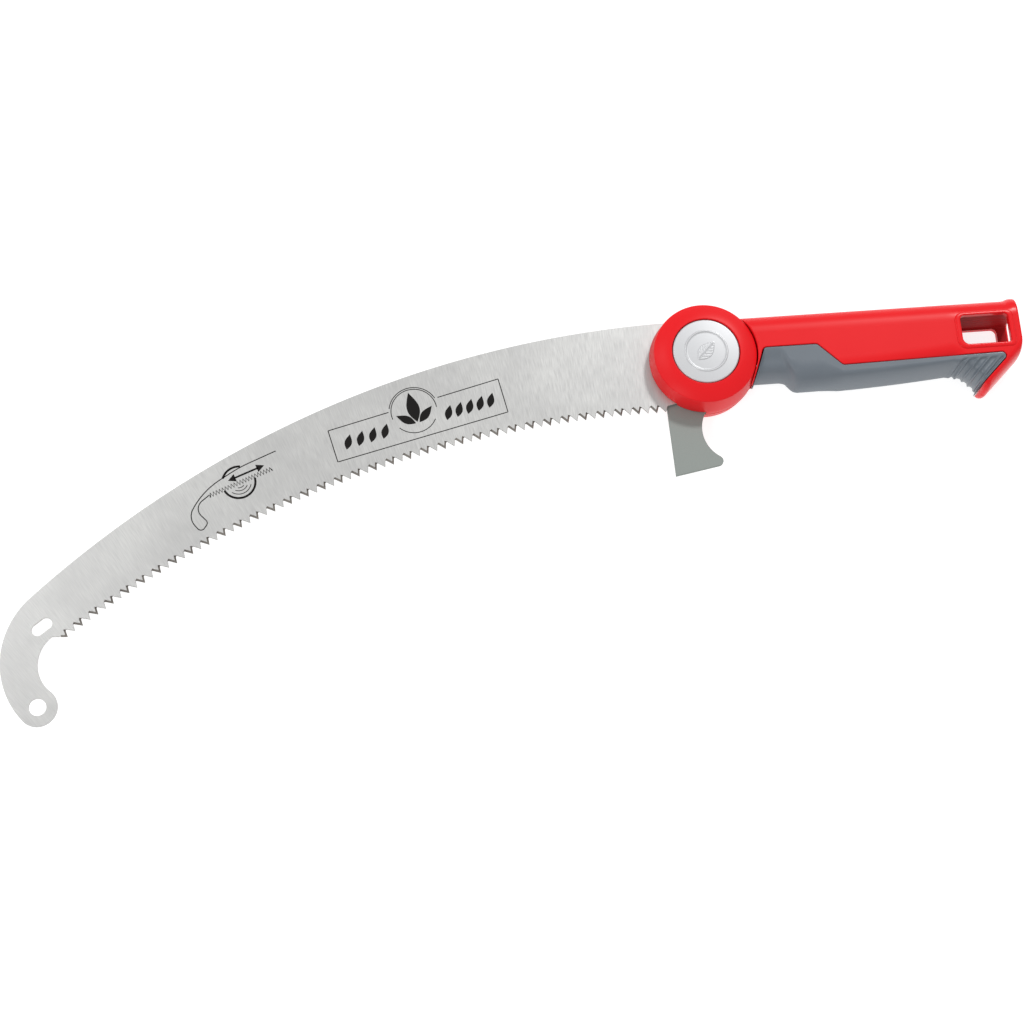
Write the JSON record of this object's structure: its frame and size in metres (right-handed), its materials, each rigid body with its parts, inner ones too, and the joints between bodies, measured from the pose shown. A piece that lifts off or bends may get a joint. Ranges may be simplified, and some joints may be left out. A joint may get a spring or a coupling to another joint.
{
  "type": "pole pruning saw head",
  "caption": "Curved pull-cut pruning saw head: hooked blade, bark knife, push-button hub that tilts the blade, and a soft hand-grip whose open end takes a pole.",
  "frame": {"origin": "on the hub's axis, on the flat rear face of the hub, which the saw lies on", "axes": "+Z along the hub axis out through the push button, +X along the hand-grip to its open end, +Y towards the back of the blade, away from the teeth"},
  "size_m": [0.6073, 0.2228, 0.0325],
  "materials": {
    "red_plastic": "satin moulded",
    "grey_rubber": "matte",
    "blade_steel": "finely ground along the blade",
    "knife_steel": "matte, darker",
    "zinc": "cast",
    "brass": "machined",
    "bronze": "sintered",
    "acetal": "moulded",
    "silver_button": "satin silver",
    "spring_steel": "oiled",
    "fastener": "plated"
  },
  "bodies": {
    "handle": {"rear_handle_shell": "red_plastic", "front_handle_shell": "red_plastic", "soft_grip": "grey_rubber", "handle_screw_1": "fastener", "handle_screw_2": "fastener", "handle_screw_3": "fastener", "handle_screw_4": "fastener", "threaded_insert": "brass", "pivot_bolt": "fastener", "pivot_bush": "bronze", "pivot_washer": "fastener", "lock_ring": "zinc", "wear_washer": "acetal", "return_spring": "spring_steel"},
    "head": {"head_cover": "red_plastic", "saw_blade": "blade_steel", "bark_knife": "knife_steel", "clamp_plate": "zinc", "clamp_screw_1": "fastener", "clamp_screw_2": "fastener", "clamp_screw_3": "fastener"},
    "button": {"push_button": "silver_button", "lock_star": "zinc"}
  },
  "joints": [
    {"name": "head_tilt", "type": "hinge", "parent": "handle", "child": "head", "pos_m": [0, 0, 0], "axis": [0, 0, 1], "range_deg": [-45, 45]},
    {"name": "button_press", "type": "slide", "parent": "head", "child": "button", "axis": [0, 0, -1], "range_m": [0, 0.0032], "stiffness_N_per_m": 1200, "springref_m": -0.004, "deforming": ["return_spring"]}
  ]
}
